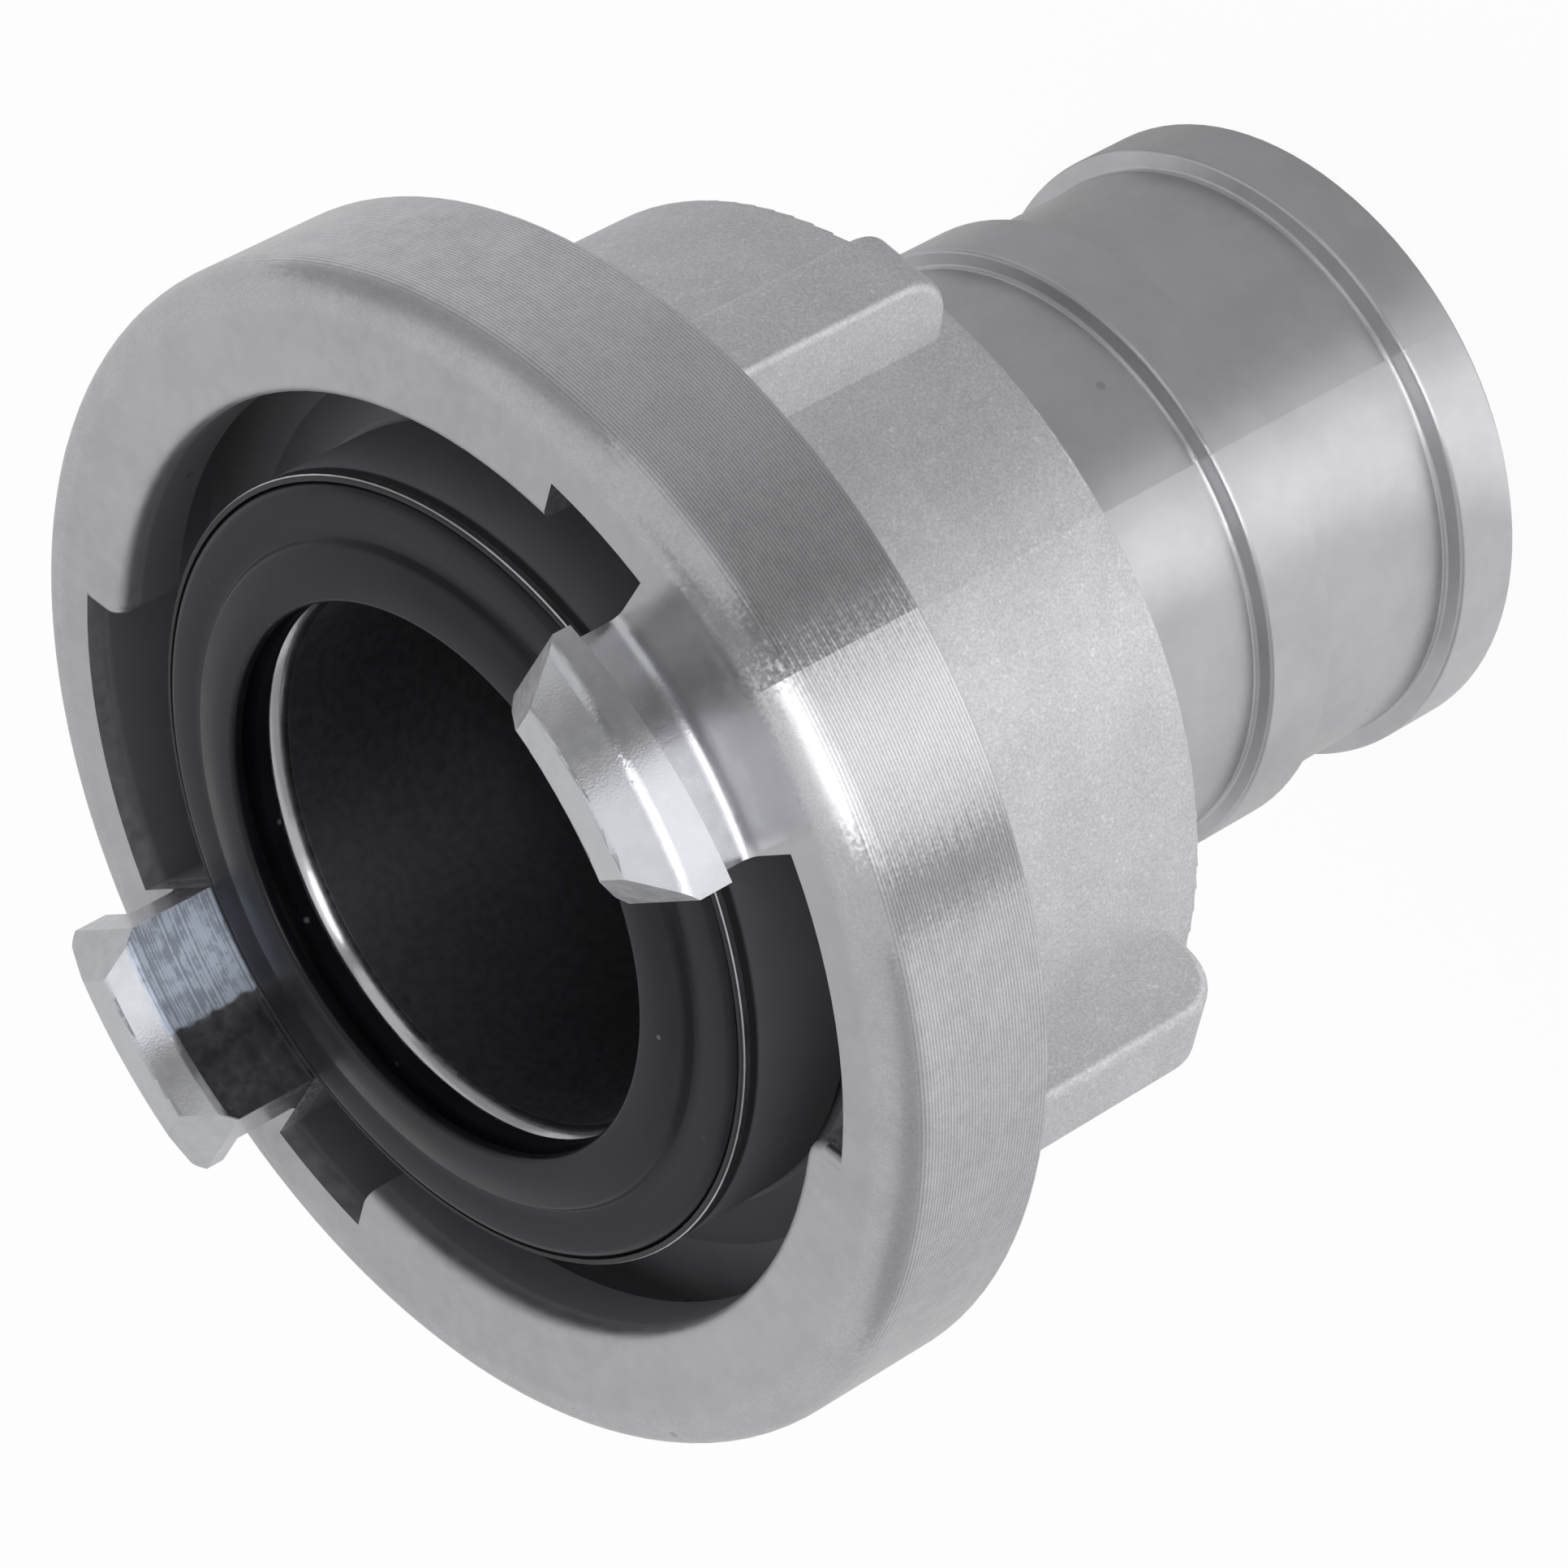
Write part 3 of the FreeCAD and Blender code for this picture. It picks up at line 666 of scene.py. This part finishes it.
def spun_ring(name, corners, roundings, steps):
    """Extrude an outline in the XZ plane from one point, round its corners and spin it about Z."""
    deselect_all()
    first = corners[0]
    bpy.ops.mesh.primitive_plane_add(size=MM, location=(first[0], 0.0, first[1]))
    piece = bpy.context.object
    piece.name = name
    bpy.ops.object.mode_set(mode="EDIT")
    bpy.ops.mesh.select_mode(type="VERT")
    bpy.ops.mesh.select_all(action="SELECT")
    bpy.ops.mesh.merge(type="CENTER")
    for before, after in zip(corners, corners[1:]):
        step = (after[0] - before[0], 0.0, after[1] - before[1])
        bpy.ops.mesh.extrude_vertices_move(TRANSFORM_OT_translate={"value": step})
    select_corners(piece, [corners[0], corners[-1]])
    bpy.ops.mesh.edge_face_add()
    for place, radius, parts in roundings:
        select_corners(piece, [place])
        bpy.ops.mesh.bevel(offset=radius, segments=parts, affect="VERTICES")
    bpy.ops.mesh.select_all(action="SELECT")
    bpy.ops.mesh.spin(
        steps=steps,
        angle=2.0 * math.pi,
        use_auto_merge=True,
        center=(0.0, 0.0, 0.0),
        axis=(0.0, 0.0, 1.0),
    )
    bpy.ops.mesh.select_all(action="SELECT")
    bpy.ops.mesh.remove_doubles(threshold=1e-6)
    bpy.ops.mesh.normals_make_consistent(inside=False)
    bpy.ops.object.mode_set(mode="OBJECT")
    bpy.ops.object.transform_apply(location=True, rotation=True, scale=True)
    bpy.ops.object.shade_smooth_by_angle(angle=math.radians(35.0))
    return piece


class COUPLING_OT_face_seal(bpy.types.Operator):
    """Spin the face seal from its outline and give it its rubber"""

    bl_idname = "coupling.face_seal"
    bl_label = "Face seal"

    def execute(self, context):
        seal = context.scene.coupling_seal
        inner, outer = seal.inner_radius, seal.outer_radius
        crown = 0.12 * MM
        bevel_width = 2.4 * MM
        step_lean = 0.4 * MM
        groove_lean = 0.2 * MM
        low, band, top = seal.seat_height, seal.band_height, seal.face_height
        behind = inner + seal.groove_depth
        corners = [
            (inner, low),
            (outer, low),
            (outer, band - crown),
            (outer - bevel_width, band),
            (seal.step_radius, band - crown),
            (seal.step_radius - step_lean, top - seal.face_fall),
            (inner + seal.face_width, top),
            (inner, top),
            (inner, top - seal.lip_thickness),
            (behind, top - seal.lip_thickness - groove_lean),
            (behind, low + seal.lip_thickness),
            (inner, low + seal.lip_thickness),
        ]
        # corner, radius of its rounding and number of steps in it
        roundings = [
            (corners[2], 0.9 * MM, 8),
            (corners[3], 0.8 * MM, 3),
            (corners[4], 0.12 * MM, 2),
            (corners[5], 0.3 * MM, 4),
            (corners[6], 0.8 * MM, 4),
            (corners[7], 0.45 * MM, 6),
            (corners[8], 0.2 * MM, 2),
            (corners[1], 0.2 * MM, 2),
        ]
        piece = spun_ring("face_seal", corners, roundings, seal.steps)
        piece.data.materials.append(rubber_material(seal))
        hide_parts("seal_ring")
        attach(piece, "tail")
        return {"FINISHED"}


class COUPLING_OT_metal_finishes(bpy.types.Operator):
    """Give the claw ring, the hose tail and the retaining ring their metal finishes"""

    bl_idname = "coupling.metal_finishes"
    bl_label = "Metal finishes"

    def execute(self, context):
        metal = context.scene.coupling_metal
        finishes = {
            "claw_ring": ring_material,
            "hose_tail": tail_material,
            "snap_ring": spring_material,
        }
        for name, make in finishes.items():
            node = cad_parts[name]
            material = make(metal)
            for slot in node.material_slots:
                slot.material = material
        return {"FINISHED"}


# Studio

def soft_lamp(name, place, target, width, height, power):
    """Add a rectangular soft lamp that faces the target and isn't seen by the camera."""
    bpy.ops.object.light_add(type="AREA", location=place)
    lamp = bpy.context.object
    lamp.name = name
    lamp.data.shape = "RECTANGLE"
    lamp.data.size = width
    lamp.data.size_y = height
    lamp.data.energy = power
    lamp.rotation_mode = "QUATERNION"
    away = Vector(target) - Vector(place)
    lamp.rotation_quaternion = away.to_track_quat("-Z", "Y")
    lamp.visible_camera = False
    return lamp


def card(name, place, width, depth, lean=0.0):
    """Add a studio card that only reflections show, and return its node tree."""
    deselect_all()
    bpy.ops.mesh.primitive_plane_add(size=1.0, location=place, rotation=(0.0, lean, 0.0))
    return unseen(name, (width, depth, 1.0))


def shine(tree, level):
    """End the tree in plain light of the given level."""
    glow = add(tree, "ShaderNodeEmission", {0: level, 1: 1.0})
    add(tree, "ShaderNodeOutputMaterial", {0: glow.outputs[0]})


def unseen(name, size):
    """Scale the new plane, show it to reflections only and return its node tree."""
    piece = bpy.context.object
    piece.name = name
    piece.scale = size
    bpy.ops.object.transform_apply(location=True, rotation=True, scale=True)
    material, tree = new_material(name + "_paint")
    piece.data.materials.append(material)
    piece.visible_camera = False
    piece.visible_diffuse = False
    piece.visible_shadow = False
    piece.visible_transmission = False
    return tree


def plain_card(name, level, along, across, up):
    """Add a card of one brightness between its ends in X, Y and Z, lying flat or upright."""
    middle = (sum(along) / 2, sum(across) / 2, sum(up) / 2)
    width = across[1] - across[0]
    if up[1] > up[0]:
        tree = card(name, middle, up[1] - up[0], width, math.radians(90.0))
    else:
        tree = card(name, middle, along[1] - along[0], width)
    shine(tree, (level, level, level, 1.0))


def side_screen(name, level, across):
    """Add a grey screen beside the part, along X and upright."""
    deselect_all()
    bpy.ops.mesh.primitive_plane_add(
        size=1.0,
        location=(SIDE_SCREEN_MIDDLE_X, across, SIDE_SCREEN_MIDDLE_Z),
        rotation=(math.radians(90.0), 0.0, 0.0),
    )
    tree = unseen(name, (SIDE_SCREEN_LENGTH, SIDE_SCREEN_HEIGHT, 1.0))
    shine(tree, (level, level, level, 1.0))


def levels(tree, angle, stops):
    """Brightness that follows the angle around the axis through the given stops, in degrees."""
    share = add(
        tree, "ShaderNodeMapRange", {0: angle, 1: -math.pi, 2: math.pi, 3: 0.0, 4: 1.0}
    )
    node = add(tree, "ShaderNodeValToRGB", {0: share.outputs[0]})
    points = node.color_ramp.elements
    points.remove(points[1])
    for index, (degrees, level) in enumerate(stops):
        place = degrees / 360.0 + 0.5
        point = points[0] if index == 0 else points.new(place)
        point.position = place
        point.color = (level, level, level, 1.0)
    return node.outputs[0]


def floor_card():
    """Card on the floor around the part: lit from one side, dark on the other, bright between."""
    place = (0.0, 0.0, FLOOR_CARD_HEIGHT)
    tree = card("floor_card", place, FLOOR_CARD_SIZE, FLOOR_CARD_SIZE)
    parts, away = radius_and_height(tree)[1:3]
    angle = add(
        tree,
        "ShaderNodeMath",
        {0: parts.outputs[1], 1: parts.outputs[0]},
        operation="ARCTAN2",
    ).outputs[0]
    near = levels(tree, angle, NEAR_LEVELS)
    far = levels(tree, angle, FAR_LEVELS)
    mixed = blend(tree, ramp(tree, away, *FLOOR_CARD_FAR_RADII), near, far)
    # the middle lies under the part and stays dark, a painted shadow of the part
    dark = (FLOOR_CARD_MIDDLE_LEVEL,) * 3
    lit = blend(tree, ramp(tree, away, *FLOOR_CARD_MIDDLE_RADII), dark, mixed)
    shine(tree, lit)


class COUPLING_OT_studio(bpy.types.Operator):
    """Set up the pale floor, the room, the cards, the soft lamp and the camera"""

    bl_idname = "coupling.studio"
    bl_label = "Studio"

    def execute(self, context):
        stage = context.scene.coupling_stage
        scene = context.scene

        # floor: pale and matt, and white to the camera but for a trace of shadow
        deselect_all()
        bpy.ops.mesh.primitive_plane_add(size=FLOOR_SIZE, location=(0.0, 0.0, 0.0))
        floor = bpy.context.object
        floor.name = "studio_floor"
        material, tree = new_material("pale_studio_floor")
        path = add(tree, "ShaderNodeLightPath")
        share = times(tree, path.outputs["Is Camera Ray"], FLOOR_WHITE_SHARE)
        paint = add(tree, "ShaderNodeBsdfDiffuse", {"Color": (*stage.floor, 1.0)})
        white = add(tree, "ShaderNodeEmission", {0: (1.0, 1.0, 1.0, 1.0), 1: 1.0})
        mixed = add(
            tree, "ShaderNodeMixShader", {0: share, 1: paint.outputs[0], 2: white.outputs[0]}
        )
        add(tree, "ShaderNodeOutputMaterial", {0: mixed.outputs[0]})
        floor.data.materials.append(material)

        # room: plain grey light, white where the camera looks at it
        world = bpy.data.worlds.new("studio_room")
        scene.world = world
        world.use_nodes = True
        tree = world.node_tree
        tree.nodes.clear()
        path = add(tree, "ShaderNodeLightPath")
        plain = add(
            tree, "ShaderNodeBackground", {0: (1.0, 1.0, 1.0, 1.0), 1: stage.world_level}
        )
        white = add(tree, "ShaderNodeBackground", {0: (1.0, 1.0, 1.0, 1.0), 1: 1.0})
        mixed = add(
            tree,
            "ShaderNodeMixShader",
            {0: path.outputs["Is Camera Ray"], 1: plain.outputs[0], 2: white.outputs[0]},
        )
        add(tree, "ShaderNodeOutputWorld", {0: mixed.outputs[0]})

        # cards that the metal mirrors: on the floor, overhead, in front and on both sides
        floor_card()
        for card_facts in PLAIN_CARDS:
            plain_card(*card_facts)
        for screen_facts in SIDE_SCREENS:
            side_screen(*screen_facts)

        # one large soft lamp, which only lays the faint shadow and lights the rubber
        lamp = soft_lamp(
            "key_softbox",
            place=(-0.5, 0.35, 0.8),
            target=(0.0, 0.0, 0.06),
            width=0.8,
            height=0.8,
            power=stage.key_power,
        )
        lamp.visible_glossy = False

        # camera at the photograph's place
        bpy.ops.object.camera_add()
        camera = bpy.context.object
        camera.name = "photo_camera"
        camera.data.lens = CAMERA_LENS
        camera.data.sensor_width = CAMERA_SENSOR
        camera.data.clip_start = 0.01
        turn = Matrix(CAMERA_TURN).to_4x4()
        camera.matrix_world = Matrix.Translation(CAMERA_PLACE) @ turn
        scene.camera = camera
        scene.view_settings.view_transform = "Standard"
        return {"FINISHED"}


class COUPLING_PT_panel(bpy.types.Panel):
    """Settings and steps of the coupling"""

    bl_idname = "COUPLING_PT_panel"
    bl_label = "Fire hose coupling"
    bl_space_type = "VIEW_3D"
    bl_region_type = "UI"
    bl_category = "Coupling"

    def draw(self, context):
        layout = self.layout
        for operator in OPERATORS:
            layout.operator(operator.bl_idname)
        for settings in (
            context.scene.coupling_seal,
            context.scene.coupling_metal,
            context.scene.coupling_stage,
        ):
            box = layout.box()
            for name in settings.bl_rna.properties.keys():
                if name not in {"rna_type", "name"}:
                    box.prop(settings, name)


OPERATORS = (COUPLING_OT_face_seal, COUPLING_OT_metal_finishes, COUPLING_OT_studio)
CLASSES = (SealSettings, MetalSettings, StageSettings, *OPERATORS, COUPLING_PT_panel)


def register():
    """Register the classes and hang their settings on the scene."""
    for item in CLASSES:
        bpy.utils.register_class(item)
    bpy.types.Scene.coupling_seal = PointerProperty(type=SealSettings)
    bpy.types.Scene.coupling_metal = PointerProperty(type=MetalSettings)
    bpy.types.Scene.coupling_stage = PointerProperty(type=StageSettings)


def unregister():
    """Take the settings and the classes away again."""
    del bpy.types.Scene.coupling_stage
    del bpy.types.Scene.coupling_metal
    del bpy.types.Scene.coupling_seal
    for item in reversed(CLASSES):
        bpy.utils.unregister_class(item)


def main():
    """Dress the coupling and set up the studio."""
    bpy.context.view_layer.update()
    register()
    bpy.ops.coupling.metal_finishes()
    bpy.ops.coupling.face_seal()
    bpy.ops.coupling.studio()


if __name__ == "__main__":
    main()
